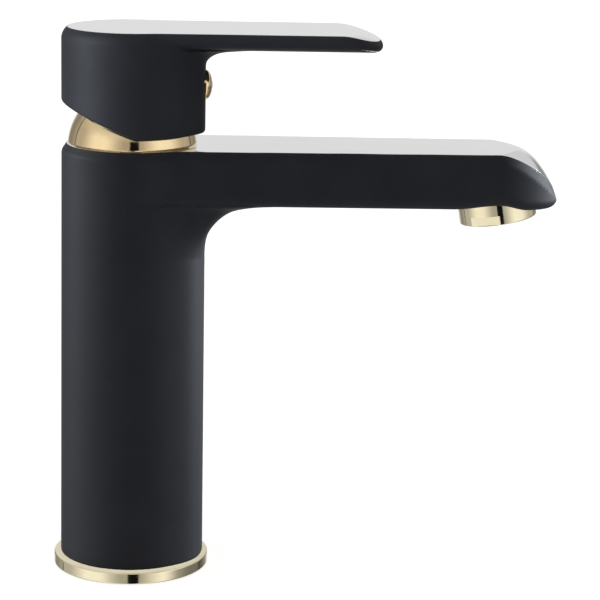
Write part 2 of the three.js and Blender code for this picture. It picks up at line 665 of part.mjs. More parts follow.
function temperatureLimitRing() {
  const z0 = NECK_TOP_Z + GAP;
  const z1 = z0 + LIMIT_RING_T;
  const shape = new THREE.Shape();
  for (let i = 0; i < LIMIT_TEETH * 2; i += 1) {
    const angle = i / (LIMIT_TEETH * 2) * 2 * Math.PI;
    const r = LIMIT_RING_R - (i % 2 ? LIMIT_TOOTH : 0);
    shape[i ? 'lineTo' : 'moveTo'](r * Math.cos(angle), r * Math.sin(angle));
  }
  const flat = new THREE.ExtrudeGeometry(shape, { depth: LIMIT_RING_T, bevelEnabled: false });
  const plate = solidOf(flat.translate(0, 0, z0));
  const hole = rod(ROTOR_R + TURN_GAP, z0 - THROUGH, z1 + THROUGH, { segments: MEDIUM });
  const playAngle = TURN_GAP / ROTOR_R;
  const windowHalf = SWIVEL_LIMIT + STOP_KEY_HALF + playAngle;
  const stopWindow = sector(ROTOR_R, ROTOR_R + STOP_KEY + TURN_GAP, windowHalf, z0 - THROUGH, z1 + THROUGH);
  return meshOf('temperature_limit_ring', cut(plate, [hole, stopWindow]), RED_PLASTIC);
}

// The slot is long enough for the stem at both ends of its swing.
function stemCarrier() {
  const top = PIVOT_Z + ROTOR_TOP;
  const neck = rod(ROTOR_R, ROTOR_FLANGE_Z, top, { segments: MEDIUM });
  const flange = rod(ROTOR_FLANGE_R, ROTOR_FLANGE_Z, ROTOR_FLANGE_Z + ROTOR_FLANGE_T, { segments: MEDIUM });
  const key = sector(ROTOR_R - THROUGH, ROTOR_R + STOP_KEY, STOP_KEY_HALF, NECK_TOP_Z + GAP, top);
  const neckSwing = STEM_NECK_R / Math.cos(LIFT_LIMIT) + TURN_GAP;
  const back = -(ROTOR_TOP * Math.tan(LIFT_LIMIT) + neckSwing);
  const front = (PIVOT_Z - ROTOR_FLANGE_Z) * Math.tan(LIFT_LIMIT) + neckSwing;
  const across = STEM_NECK_R + TURN_GAP;
  const slot = block([back, front], [-across, across], [ROTOR_FLANGE_Z - THROUGH, top + THROUGH]);
  const pinHole = rodAlongY(PIN_R + GAP, ROTOR_R + THROUGH, PIVOT_Z, 16);
  return meshOf('stem_carrier', cut(joined([neck, flange, key]), [slot, pinHole]), GREY_PLASTIC);
}

function pivotPin() {
  return meshOf('pivot_pin', rodAlongY(PIN_R, ROTOR_R - GAP, PIVOT_Z, 16), STEEL);
}

function cartridgeStem() {
  const square = block(
    [-STEM_HALF, STEM_HALF],
    [-STEM_HALF, STEM_HALF],
    [PIVOT_Z + STEM_SHOULDER, PIVOT_Z + STEM_TOP],
  );
  const neck = rod(STEM_NECK_R, PIVOT_Z - STEM_NECK_R, PIVOT_Z + STEM_SHOULDER + THROUGH);
  const arm = rod(BALL_R * 0.7, BALL_Z, PIVOT_Z);
  const pinHole = rodAlongY(PIN_R + GAP, ROTOR_R, PIVOT_Z, 16);
  const tip = ball(BALL_R, BALL_Z, SMALL);
  return meshOf('cartridge_stem', cut(joined([square, neck, arm, tip]), [pinHole]), BRASS);
}

// ---- Dome ----

// Points along a circle about the pivot, from one height above it to another.
function domeArc(radius, from, to, steps) {
  const points = [];
  for (let i = 0; i <= steps; i += 1) {
    const rise = THREE.MathUtils.lerp(from, to, i / steps);
    points.push([Math.sqrt(radius * radius - rise * rise), PIVOT_Z + rise]);
  }
  return points;
}

function cartridgeDome() {
  const inner = DOME_R - DOME_T;
  const foot = PIVOT_DROP + GAP;
  const seatTop = foot + DOME_SEAT_T;
  const crown = Math.sqrt(DOME_R * DOME_R - DOME_HOLE_R * DOME_HOLE_R);
  const outside = domeArc(DOME_R, foot, crown, 8);
  const innerCrown = crown - DOME_T / 2;
  const innerFoot = Math.sqrt(inner * inner - DOME_SEAT_R * DOME_SEAT_R);
  const inside = domeArc(inner, innerCrown, Math.max(seatTop, innerFoot), 7);
  const seat = [[DOME_SEAT_R, PIVOT_Z + foot]];
  return meshOf('cartridge_dome', turned([...outside, ...inside, ...seat], FINE), GOLD);
}

// ---- Handle ----

const LEVER = {
  tipX: LEVER_TIP_X,
  rootHalf: HANDLE_R - LEVER_ROOT_INSET,
  tipHalf: HANDLE_R - LEVER_TIP_INSET,
  topZ: HANDLE_TOP,
  underZ: LEVER_UNDER_Z,
  underR: LEVER_UNDER_R,
  underBow: LEVER_UNDER_BOW,
  nose: LEVER_NOSE,
};

function handleOuter() {
  const skirtZ = BODY_TOP + SKIRT_RISE;
  const skirt = turned([
    [0, skirtZ],
    [HANDLE_R, skirtZ],
    [HANDLE_R, HANDLE_TOP - EDGE_DROP],
    [HANDLE_R - EDGE_INSET, HANDLE_TOP],
    [0, HANDLE_TOP],
  ], FINE);
  const flare = flareSolid({
    radius: HANDLE_R - GAP,
    wallX: FRONT_X,
    half: FRONT_HALF,
    flareR: LEVER_FLARE_R,
    underZ: LEVER_UNDER_Z,
    underBow: LEVER_UNDER_BOW,
    drop: LEVER_UNDER_Z - LEVER_FLARE_R - skirtZ,
  });
  return joined([skirt, flare, barSolid(LEVER)]);
}

// Takes the lower back of the skirt away along a slope, so that the lever can tip back.
function skirtCut() {
  const size = 4 * HANDLE_R;
  const geometry = new THREE.BoxGeometry(size, size, size).translate(-size / 2, 0, -size / 2);
  geometry.rotateY(SKIRT_CUT).translate(SKIRT_CUT_X, 0, BODY_TOP + SKIRT_RISE);
  return solidOf(geometry);
}

function handlePocket() {
  const roof = HANDLE_TOP - HANDLE_SHELL;
  const pocket = rod(HANDLE_POCKET_R, PIVOT_Z, roof, { segments: MEDIUM });
  const boss = rod(HANDLE_BOSS_R, PIVOT_Z + HANDLE_BOSS_END, roof + THROUGH);
  const ribFoot = Math.sqrt((DOME_R + SPHERE_GAP) ** 2 - HANDLE_POCKET_R ** 2) + PIVOT_Z;
  const rib = block([0, HANDLE_R - THROUGH], [-SCREW_RIB_HALF, SCREW_RIB_HALF], [ribFoot, roof + THROUGH]);
  const swing = ball(DOME_R + SPHERE_GAP, PIVOT_Z, FINE);
  return cut(joined([pocket, swing]), [boss, rib]);
}

function handle() {
  const socket = block(
    [-STEM_HALF - GAP, STEM_HALF + GAP],
    [-STEM_HALF - GAP, STEM_HALF + GAP],
    [PIVOT_Z, PIVOT_Z + STEM_TOP + GAP],
  );
  const screwHole = rodAlongX(SCREW_R + GAP, 0, FRONT_X, SCREW_Z);
  const buttonBack = FRONT_X - BUTTON_DEPTH - GAP;
  const buttonSeat = rodAlongX(BUTTON_R + GAP, buttonBack, FRONT_X + LEVER_FLARE_R, SCREW_Z, MEDIUM);
  const solid = cut(handleOuter(), [skirtCut(), handlePocket(), socket, screwHole, buttonSeat]);
  return meshOf('handle', solid, BLACK_PAINT);
}

function setScrew() {
  const x0 = STEM_HALF + GAP;
  const body = rodAlongX(SCREW_R, x0, x0 + SCREW_LEN, SCREW_Z);
  const key = rodAlongX(SCREW_KEY_R, x0 + SCREW_LEN - SCREW_KEY_DEPTH, x0 + SCREW_LEN + THROUGH, SCREW_Z, 6);
  return meshOf('handle_set_screw', body.subtract(key), STEEL);
}

// Turns a solid made about Z with its back at height 0 so that it points along +X at the button's place.
function atButton(solid) {
  return solid.rotate([0, 90, 0]).translate([FRONT_X - BUTTON_DEPTH, 0, SCREW_Z]);
}

function indexButton() {
  const steps = 8;
  const profile = [[0, 0], [BUTTON_R, 0], [BUTTON_R, BUTTON_DEPTH]];
  for (let i = 1; i <= steps; i += 1) {
    const angle = i / steps * Math.PI / 2;
    profile.push([BUTTON_R * Math.cos(angle), BUTTON_DEPTH + BUTTON_BULGE * Math.sin(angle)]);
  }
  profile[profile.length - 1][0] = 0;
  const front = BUTTON_DEPTH + BUTTON_BULGE;
  const seat = rod(INSERT_R + GAP, front - INSERT_T - GAP, front + THROUGH);
  return meshOf('index_button', atButton(turned(profile).subtract(seat)), GOLD);
}

function indexInsert() {
  const front = BUTTON_DEPTH + BUTTON_BULGE;
  return meshOf('index_insert', atButton(rod(INSERT_R, front - INSERT_T, front)), RED_PLASTIC);
}

// ---- Aerator ----

function aeratorShell() {
  const lipBore = AERATOR_BORE_R - AERATOR_LIP;
  const profile = [
    [lipBore, 0],
    [AERATOR_R - RING_EDGE, 0],
    [AERATOR_R, RING_EDGE],
    [AERATOR_R, AERATOR_HEAD_T],
    [AERATOR_THREAD_R, AERATOR_HEAD_T],
    [AERATOR_THREAD_R, AERATOR_T],
    [AERATOR_BORE_R, AERATOR_T],
    [AERATOR_BORE_R, AERATOR_LIP_T],
    [lipBore, AERATOR_LIP_T],
  ];
  const flats = [0, Math.PI].map((turn) => {
    const reach = AERATOR_R - WRENCH_FLAT_DEPTH;
    const geometry = new THREE.BoxGeometry(AERATOR_R, 2 * AERATOR_R, WRENCH_FLAT_T + THROUGH);
    geometry.translate(reach + AERATOR_R / 2, 0, (WRENCH_FLAT_T - THROUGH) / 2);
    return solidOf(geometry.rotateZ(WRENCH_FLAT_ANGLE + turn));
  });
  return meshOf('aerator_shell', atAerator(cut(turned(profile), flats)), GOLD);
}

function aeratorCage() {
  const z0 = AERATOR_LIP_T + GAP;
  const r = AERATOR_BORE_R - GAP;
  const disc = rod(r, z0, z0 + CAGE_T, { segments: MEDIUM });
  const holes = [];
  [[0, 1], [0.36, 6], [0.72, 12]].forEach(([share, count]) => {
    for (let i = 0; i < count; i += 1) {
      const angle = i / count * 2 * Math.PI;
      const place = { x: r * share * Math.cos(angle), y: r * share * Math.sin(angle), segments: 6 };
      holes.push(rod(r * 0.13, z0 - THROUGH, z0 + CAGE_T + THROUGH, place));
    }
  });
  return meshOf('aerator_cage', atAerator(cut(disc, holes)), WHITE_PLASTIC);
}

function aeratorMesh() {
  const z0 = AERATOR_LIP_T + GAP + CAGE_T + GAP;
  const disc = rod(AERATOR_BORE_R - GAP, z0, z0 + MESH_T, { segments: MEDIUM });
  return meshOf('aerator_mesh', atAerator(disc), STEEL);
}

function aeratorWasher() {
  const z0 = AERATOR_T + GAP;
  const inner = AERATOR_BORE_R - AERATOR_LIP;
  const solid = ring(AERATOR_THREAD_R, inner, z0, z0 + AERATOR_WASHER_T);
  return meshOf('aerator_washer', atAerator(solid), RUBBER);
}

// ---- Assembly ----

const mixer = new THREE.Group();
mixer.add(bodyCasting(), baseRing(), baseGasket());
mixer.add(cartridgeBase(), ...portSeals(), fixedDisc(), movingDisc(), discCarrier());
mixer.add(cartridgeHousing(), cartridgeNut(), temperatureLimitRing());
mixer.add(stemCarrier(), pivotPin(), cartridgeStem(), cartridgeDome());
mixer.add(handle(), setScrew(), indexButton(), indexInsert());
mixer.add(aeratorShell(), aeratorCage(), aeratorMesh(), aeratorWasher());

export default mixer;
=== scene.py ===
import json
import math
from types import SimpleNamespace

import bpy
import numpy as np
from mathutils import Matrix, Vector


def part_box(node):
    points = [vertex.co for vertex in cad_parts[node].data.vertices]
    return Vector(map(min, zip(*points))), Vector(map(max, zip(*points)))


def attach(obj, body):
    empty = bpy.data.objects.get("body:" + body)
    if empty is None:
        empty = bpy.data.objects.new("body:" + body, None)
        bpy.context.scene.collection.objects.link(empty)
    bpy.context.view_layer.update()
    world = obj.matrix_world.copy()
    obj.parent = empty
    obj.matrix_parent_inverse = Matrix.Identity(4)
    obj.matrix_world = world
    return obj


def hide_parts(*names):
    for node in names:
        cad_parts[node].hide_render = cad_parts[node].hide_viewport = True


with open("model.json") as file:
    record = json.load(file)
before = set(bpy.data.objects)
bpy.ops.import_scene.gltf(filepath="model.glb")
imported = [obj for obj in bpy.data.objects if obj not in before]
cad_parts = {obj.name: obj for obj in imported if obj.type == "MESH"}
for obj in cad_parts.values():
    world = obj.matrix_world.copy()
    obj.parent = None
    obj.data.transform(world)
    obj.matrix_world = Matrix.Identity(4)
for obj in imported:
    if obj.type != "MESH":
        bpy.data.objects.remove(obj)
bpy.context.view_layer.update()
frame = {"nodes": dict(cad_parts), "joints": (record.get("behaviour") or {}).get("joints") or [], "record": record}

# Everything below is in millimetres until a mesh is made
MM = 0.001


def box_mm(node):
    return [np.array(corner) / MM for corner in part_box(node)]


joints = {joint["name"]: joint for joint in frame["joints"]}
mounts = {mount["name"]: mount for mount in frame["record"]["mounts"]}
BODY_HI = box_mm("body_casting")[1]
HANDLE_LO, HANDLE_HI = box_mm("handle")
RING_LO, RING_HI = box_mm("base_ring")
DOME_LO = box_mm("cartridge_dome")[0]
BUTTON_LO, BUTTON_HI = box_mm("index_button")
INSERT_LO, INSERT_HI = box_mm("index_insert")
CARTRIDGE_LO = box_mm("cartridge_base")[0]
NUT_LO = box_mm("cartridge_nut")[0]
PIVOT_Z = joints["flow_lift"]["pos_m"][2] / MM

# ---- Shared sizes ----

GAP = 0.3  # between parts that meet
TINY = 1e-6
LEAST_SLOPE = 0.02  # keeps an outline's distance finite where its gradient vanishes
COLUMN_R = 24.0
COLUMN_FOOT_R = 24.5
COLUMN_FOOT_Z = RING_HI[2] + GAP
BODY_TOP = BODY_HI[2]
HANDLE_TOP = HANDLE_HI[2]

# A bar is a flat arm with a rounded nose. edge is the chamfer round its top face: across, down.
# arch is the hollow round the aerator: its middle, its reach to the back and the front, and its rise
SPOUT = SimpleNamespace(
    tip=BODY_HI[0], root_half=20.9, tip_half=18.1, top=BODY_TOP, under=BODY_TOP - 20.5, under_bow=0.0067,
    under_r=3.2, length=21.0, power=1.56, crown=15.3, drop=16.8, bow=0.024, edge=(1.7, 2.65),
    arch=(mounts["aerator_outlet"]["pos_m"][0] / MM - 1.0, 16.0, 9.5, 1.4),
)
LEVER = SimpleNamespace(
    tip=HANDLE_HI[0], root_half=22.6, tip_half=22.2, top=HANDLE_TOP, under=HANDLE_TOP - 7.1, under_bow=0.0055,
    under_r=3.8, length=12.0, power=2.0, crown=13.0, drop=4.0, bow=0.008, edge=(2.0, 2.2),
    arch=None,
)
# The web under each bar's root: half its width, and its radius
SPOUT_WEB = (18.9, 18.0)
LEVER_WEB = (15.0, 6.0)
SPOUT_EDGE_SOFT = 0.4
LEVER_EDGE_SOFT = 1.2
TOP_EDGE_R = 0.15

# The body's foot, with the bosses that stand in its recess
FOOT_EDGE_R = 0.4
SPIGOT_R = 20.5
SPIGOT_Z = (2.5, 6.0)
RECESS_R = 18.3
RECESS_TOP = 10.0
INLETS = ((-7, -8), (-7, 8))
INLET_BOSS_R = 6.3
INLET_BORE_R = 4.4
INLET_BORE_TOP = 15.0
STUD_AT = (11, 0)
STUD_BOSS_R = 6.0
STUD_BORE_R = 3.4
STUD_BORE_TOP = 17.0
BOSS_Z = (1.0, 11.0)
BOSS_EDGE_R = 0.4

# The cartridge's bore, the nut's thread and the aerator's stepped socket
BASE_BELOW_SEAT = 2.2
SEAT_Z = CARTRIDGE_LO[2] + BASE_BELOW_SEAT
CARTRIDGE_BORE_R = 17.8
NUT_BORE_R = 19.5
ABOVE_BODY = 160.0
SOCKET_R = 13.6
SOCKET_DEPTH = 7.8
SOCKET_NECK_R = 12.3
SOCKET_NECK_DEPTH = 16.2
BELOW_SOCKET = -14.0

# The handle's skirt, its pocket and what the pocket leaves standing
SKIRT_Z = HANDLE_LO[2]
BUTTON_Z = (BUTTON_LO[2] + BUTTON_HI[2]) / 2
FRONT_X = 24.6
SKIRT_EDGE_R = 0.5
BACK_SLOPE = math.radians(21.5)
BACK_FROM = 1.5
ROOF_Z = HANDLE_TOP - 5.0
POCKET_R = 16.0
HUB_R = 7.0
HUB_Z = PIVOT_Z + 10.0
RIB_HALF = 5
RIB_END = 23
RIB_Z = 163.0
SWING_R = 22.6
STEM_HALF = 4.3
STEM_TOP = PIVOT_Z + 29.3
SCREW_R = 2.8
BUTTON_SEAT_R = 5.35
BUTTON_SEAT_END = 31

# ---- Distance fields: negative inside, about one per millimetre near the surface ----


def round_max(a, b, r):
    """Intersection whose edge is rounded to radius r."""
    return np.minimum(np.maximum(a, b), -r) + np.hypot(np.maximum(a + r, 0), np.maximum(b + r, 0))


def cut(a, b, r=0.3):
    """a without b."""
    return round_max(a, -b, r)


def smooth_min(a, b, k):
    """Union whose inner corner is softened over k."""
    h = np.maximum(k - np.abs(a - b), 0) / k
    return np.minimum(a, b) - h * h * k / 4


def rod(x, y, z, radius, z0, z1, at=(0, 0), r=0.0):
    """An upright cylinder from z0 to z1, with its edges rounded to r."""
    across = np.hypot(x - at[0], y - at[1]) - radius
    ends = np.maximum(z0 - z, z - z1)
    return round_max(across, ends, r) if r else np.maximum(across, ends)


def slab(x, y, z, lo, hi):
    return np.maximum.reduce([lo[0] - x, x - hi[0], lo[1] - y, y - hi[1], lo[2] - z, z - hi[2]])


def bar_outline(x, y, bar):
    """Distance to the bar's outline seen from above."""
    half = bar.root_half + (bar.tip_half - bar.root_half) * x / bar.tip
    along = np.maximum(0, (x - bar.tip + bar.length) / bar.length)
    across = np.abs(y) / half
    total = np.maximum(along**bar.power + across**bar.power, TINY)
    reach = total ** (1 / bar.power)
    scale = total ** (1 / bar.power - 1)
    slope_x = scale * along ** (bar.power - 1) / bar.length
    slope_y = scale * across ** (bar.power - 1) / half
    return (reach - 1) / np.maximum(np.hypot(slope_x, slope_y), LEAST_SLOPE)


def bar_top(x, y, bar):
    """Height of the top face, and its steepness."""
    past = np.maximum(0, (x + bar.bow * y * y - (bar.tip - bar.crown)) / bar.crown)
    slope = 2 * bar.drop * past / bar.crown
    return bar.top - bar.drop * past**2, np.sqrt(1 + slope**2 * (1 + (2 * bar.bow * y) ** 2))


def bar_under(x, y, bar):
    """Height of the underside, bowed across and hollow round the aerator."""
    height = bar.under + bar.under_bow * y * y
    if not bar.arch:
        return height
    middle, back, front, rise = bar.arch
    off = np.minimum(np.abs(x - middle) / np.where(x < middle, back, front), 1)
    return height + rise * np.cos(off * math.pi / 2) ** 2


def bar_sides(x, y, z, bar):
    """The bar without its top face."""
    sides = np.maximum(bar_outline(x, y, bar), -x)
    return round_max(sides, bar_under(x, y, bar) - z, bar.under_r)


def flare(x, y, z, wall, half, radius, bar):
    """The web that fills the corner between a wall at x = wall and the underside of a bar.

    Below the web's foot its outline carries on down, a little outside the wall on either side of +X.
    """
    under = bar.under + bar.under_bow * np.minimum(np.abs(y), half) ** 2
    rise = np.clip(z - (under - radius), 0, radius)
    share = np.arcsin(rise / radius) / (math.pi / 2)
    reach = wall + radius - np.sqrt(radius**2 - rise**2)
    power = 3 + 3 * share
    ahead = np.maximum(x, 0) / reach
    across = np.abs(y) / half
    total = np.maximum(ahead**power + across**power, TINY)
    scale = total ** (1 / power - 1)
    slope = np.hypot(scale * ahead ** (power - 1) / reach, scale * across ** (power - 1) / half)
    web = (total ** (1 / power) - 1) / np.maximum(slope, LEAST_SLOPE)
    lean = np.where(z < under, rise / np.sqrt(np.maximum(radius**2 - rise**2, 0.4)), 0)
    web = web / np.sqrt(1 + np.minimum(lean, 3) ** 2)
    return np.maximum(np.maximum(web, z - under - 1), -x)


def with_top_face(shape, x, y, z, bar, soft):
    """Closes shape under the bar's top face, with a chamfer whose lower edge is softened."""
    height, steep = bar_top(x, y, bar)
    above = (z - height) / steep
    inset, drop = bar.edge[0], bar.edge[1] / steep**2
    bevel = (shape * drop + above * inset + drop * inset) / np.hypot(inset, drop)
    return round_max(round_max(shape, bevel, soft), above, TOP_EDGE_R)


def body_outline(x, y, z):
    share = (z - COLUMN_FOOT_Z) / (BODY_TOP - COLUMN_FOOT_Z)
    column = np.hypot(x, y) - (COLUMN_FOOT_R + (COLUMN_R - COLUMN_FOOT_R) * share)
    web = flare(x, y, z, COLUMN_R, *SPOUT_WEB, SPOUT)
    shape = smooth_min(column, web, 3.0)
    return smooth_min(shape, bar_sides(x, y, z, SPOUT), 2.8)


def aerator_axes():
    mount = mounts["aerator_outlet"]
    down = np.array(mount["axis"])
    side = np.array([0.0, 1.0, 0.0])
    centre = np.array(mount["pos_m"]) / MM
    centre = centre - side * centre[1]
    return centre, np.cross(side, -down), side, -down


AERATOR_AT, AERATOR_X, AERATOR_Y, AERATOR_UP = aerator_axes()


def aerator_local(x, y, z):
    d = [x - AERATOR_AT[0], y - AERATOR_AT[1], z - AERATOR_AT[2]]
    axes = (AERATOR_X, AERATOR_Y, AERATOR_UP)
    return [d[0] * axis[0] + d[1] * axis[1] + d[2] * axis[2] for axis in axes]


def body_field(x, y, z):
    shape = with_top_face(body_outline(x, y, z), x, y, z, SPOUT, SPOUT_EDGE_SOFT)
    shape = round_max(shape, COLUMN_FOOT_Z - z, FOOT_EDGE_R)
    spigot = cut(rod(x, y, z, SPIGOT_R, *SPIGOT_Z), rod(x, y, z, RECESS_R, 0, SPIGOT_Z[1]), 0.1)
    shape = np.minimum(shape, spigot)
    recess = rod(x, y, z, RECESS_R, -1.0, RECESS_TOP)
    bosses = [rod(x, y, z, INLET_BOSS_R, *BOSS_Z, at, BOSS_EDGE_R) for at in INLETS]
    bosses.append(rod(x, y, z, STUD_BOSS_R, *BOSS_Z, STUD_AT, BOSS_EDGE_R))
    shape = np.minimum(cut(shape, recess), np.minimum.reduce(bosses))
    sockets = [rod(x, y, z, INLET_BORE_R, 0.0, INLET_BORE_TOP, at) for at in INLETS]
    sockets.append(rod(x, y, z, STUD_BORE_R, 0.0, STUD_BORE_TOP, STUD_AT))
    shape = cut(shape, np.minimum.reduce(sockets))
    bore = rod(x, y, z, CARTRIDGE_BORE_R, SEAT_Z, ABOVE_BODY)
    thread = rod(x, y, z, NUT_BORE_R, NUT_LO[2] - GAP, ABOVE_BODY)
    shape = cut(shape, np.minimum(bore, thread))
    p, q, up = aerator_local(x, y, z)
    mouth = rod(p, q, up, SOCKET_R, BELOW_SOCKET, SOCKET_DEPTH)
    neck = rod(p, q, up, SOCKET_NECK_R, BELOW_SOCKET, SOCKET_NECK_DEPTH)
    return cut(shape, np.minimum(mouth, neck))


def handle_field(x, y, z):
    skirt = np.hypot(x, y) - COLUMN_R
    front = flare(x, y, z, FRONT_X, *LEVER_WEB, LEVER)
    shape = smooth_min(skirt, front, 1.0)
    # The lever grows out of the skirt softly below, and crisply at the top face
    softness = np.interp(z, (LEVER.under - 2.0, LEVER.under + 5.0), (5.0, 1.2))
    shape = smooth_min(shape, bar_sides(x, y, z, LEVER), softness)
    shape = with_top_face(shape, x, y, z, LEVER, LEVER_EDGE_SOFT)
    back = (SKIRT_Z - z) * math.cos(BACK_SLOPE) + (BACK_FROM - x) * math.sin(BACK_SLOPE)
    shape = round_max(shape, SKIRT_Z - z, SKIRT_EDGE_R)
    shape = round_max(shape, back, SKIRT_EDGE_R)
    pocket = rod(x, y, z, POCKET_R, PIVOT_Z, ROOF_Z)
    hub = rod(x, y, z, HUB_R, HUB_Z, ROOF_Z + 2)
    rib = slab(x, y, z, (0, -RIB_HALF, RIB_Z), (RIB_END, RIB_HALF, ROOF_Z + 1))
    swing = np.sqrt(x * x + y * y + (z - PIVOT_Z) ** 2) - SWING_R
    shape = cut(shape, np.maximum(np.minimum(pocket, swing), -np.minimum(hub, rib)))
    stem = slab(x, y, z, (-STEM_HALF, -STEM_HALF, PIVOT_Z), (STEM_HALF, STEM_HALF, STEM_TOP))
    from_button = np.hypot(y, z - BUTTON_Z)
    screw = np.maximum(from_button - SCREW_R, np.maximum(-x, x - FRONT_X - 1))
    seat_ends = np.maximum(BUTTON_LO[0] - GAP - x, x - BUTTON_SEAT_END)
    seat = np.maximum(from_button - BUTTON_SEAT_R, seat_ends)
    return cut(shape, np.minimum.reduce([stem, screw, seat]))


# ---- Meshes from fields ----


def spans(*parts):
    """Grid lines from (start, end, step) parts that follow each other."""
    lines = [np.linspace(a, b, max(1, round((b - a) / step)) + 1)[:-1] for a, b, step in parts]
    return np.append(np.concatenate(lines), parts[-1][1])


def slope_of(field, points, h=0.02):
    """The field's gradient, from points h either side."""
    rises = []
    for axis in range(3):
        shift = np.zeros(3)
        shift[axis] = h
        rises.append(field(*(points + shift).T) - field(*(points - shift).T))
    return np.stack(rises, 1) / (2 * h)


SETTLE_PASSES = 5
LONGEST_MOVE = 0.5


def surface_net(field, xs, ys, zs):
    """Points and quads of the field's zero surface on a grid of uneven spacing."""
    lines = (xs, ys, zs)
    values = field(*np.meshgrid(xs, ys, zs, indexing="ij"))
    cells = tuple(n - 1 for n in values.shape)
    total = np.zeros((int(np.prod(cells)), 3))
    count = np.zeros(int(np.prod(cells)))
    edges = []
    for axis in range(3):
        low = [slice(None)] * 3
        high = [slice(None)] * 3
        low[axis], high[axis] = slice(0, -1), slice(1, None)
        a, b = values[tuple(low)], values[tuple(high)]
        at = np.argwhere((a < 0) != (b < 0))
        va, vb = a[tuple(at.T)], b[tuple(at.T)]
        point = np.stack([lines[k][at[:, k]] for k in range(3)], 1)
        step = lines[axis][at[:, axis] + 1] - lines[axis][at[:, axis]]
        point[:, axis] += step * va / (va - vb)
        others = [k for k in range(3) if k != axis]
        inner = np.all([(at[:, k] > 0) & (at[:, k] < cells[k]) for k in others], 0)
        at, point, va = at[inner], point[inner], va[inner]
        corners = []
        for i, j in ((0, 0), (1, 0), (1, 1), (0, 1)):
            cell = at.copy()
            cell[:, others[0]] -= i
            cell[:, others[1]] -= j
            corners.append(np.ravel_multi_index(cell.T, cells))
        for corner in corners:
            np.add.at(total, corner, point)
            np.add.at(count, corner, 1)
        quads = np.stack(corners, 1)
        flip = (va < 0) == (axis == 1)
        quads[flip] = quads[flip][:, ::-1]
        edges.append(quads)
    quads = np.concatenate(edges)
    used, quads = np.unique(quads, return_inverse=True)
    quads = quads.reshape(-1, 4)
    points = total[used] / count[used][:, None]
    for _ in range(SETTLE_PASSES):
        slope = slope_of(field, points)
        steep = np.maximum((slope**2).sum(1), 0.05)
        move = -field(*points.T)[:, None] * slope / steep[:, None]
        length = np.linalg.norm(move, axis=1)
        points += move * np.minimum(1, LONGEST_MOVE / np.maximum(length, 1e-9))[:, None]
    return points, quads


def new_object(name, data):
    made = bpy.data.objects.new(name, data)
    bpy.context.scene.collection.objects.link(made)
    return made


def new_mesh(name, points, faces, normals):
    mesh = bpy.data.meshes.new(name)
    mesh.from_pydata((points * MM).tolist(), [], faces)
    mesh.validate()
    mesh.polygons.foreach_set("use_smooth", [True] * len(mesh.polygons))
    mesh.normals_split_custom_set_from_vertices(normals.tolist())
    mesh.update()
    return mesh


def piece(name, mesh, body, slot, material, *nodes):
    made = new_object(name, mesh)
    mesh.materials.append(material)
    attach(made, body)
    if nodes:
        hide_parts(*nodes)
    return made


def field_mesh(name, field, grid, inset):
    """The field's surface with its own normals. inset(points) is kept for the material, point by point."""
    points, quads = surface_net(field, *grid)
    slope = slope_of(field, points, 0.04)
    slope /= np.maximum(np.linalg.norm(slope, axis=1), 1e-9)[:, None]
    mesh = new_mesh(name, points, quads.tolist(), slope)
    values = mesh.attributes.new("inside_edge", "FLOAT", "POINT")
    values.data.foreach_set("value", inset(points).astype(np.float32))
    return mesh


# ---- Turned pieces ----


def filleted(profile, radius, steps=5):
    """A closed profile of (radius, height) pairs with every corner rounded, but not on the axis."""
    points = np.array(profile, float)
    out = []
    for i, here in enumerate(points):
        back, ahead = points[i - 1] - here, points[(i + 1) % len(points)] - here
        back_len, ahead_len = np.linalg.norm(back), np.linalg.norm(ahead)
        back, ahead = back / back_len, ahead / ahead_len
        angle = math.acos(np.clip(back @ ahead, -1, 1))
        if here[0] < TINY or angle > math.radians(168):
            out.append(here)
            continue
        reach = min(radius / math.tan(angle / 2), 0.45 * back_len, 0.45 * ahead_len)
        across = back + ahead
        centre = here + across / np.linalg.norm(across) * reach / math.cos(angle / 2)
        start, end = here + back * reach - centre, here + ahead * reach - centre
        first = math.atan2(start[1], start[0])
        turn = (math.atan2(end[1], end[0]) - first + math.pi) % (2 * math.pi) - math.pi
        size = np.linalg.norm(start)
        for k in range(steps + 1):
            a = first + turn * k / steps
            out.append(centre + size * np.array([math.cos(a), math.sin(a)]))
    return np.array(out)


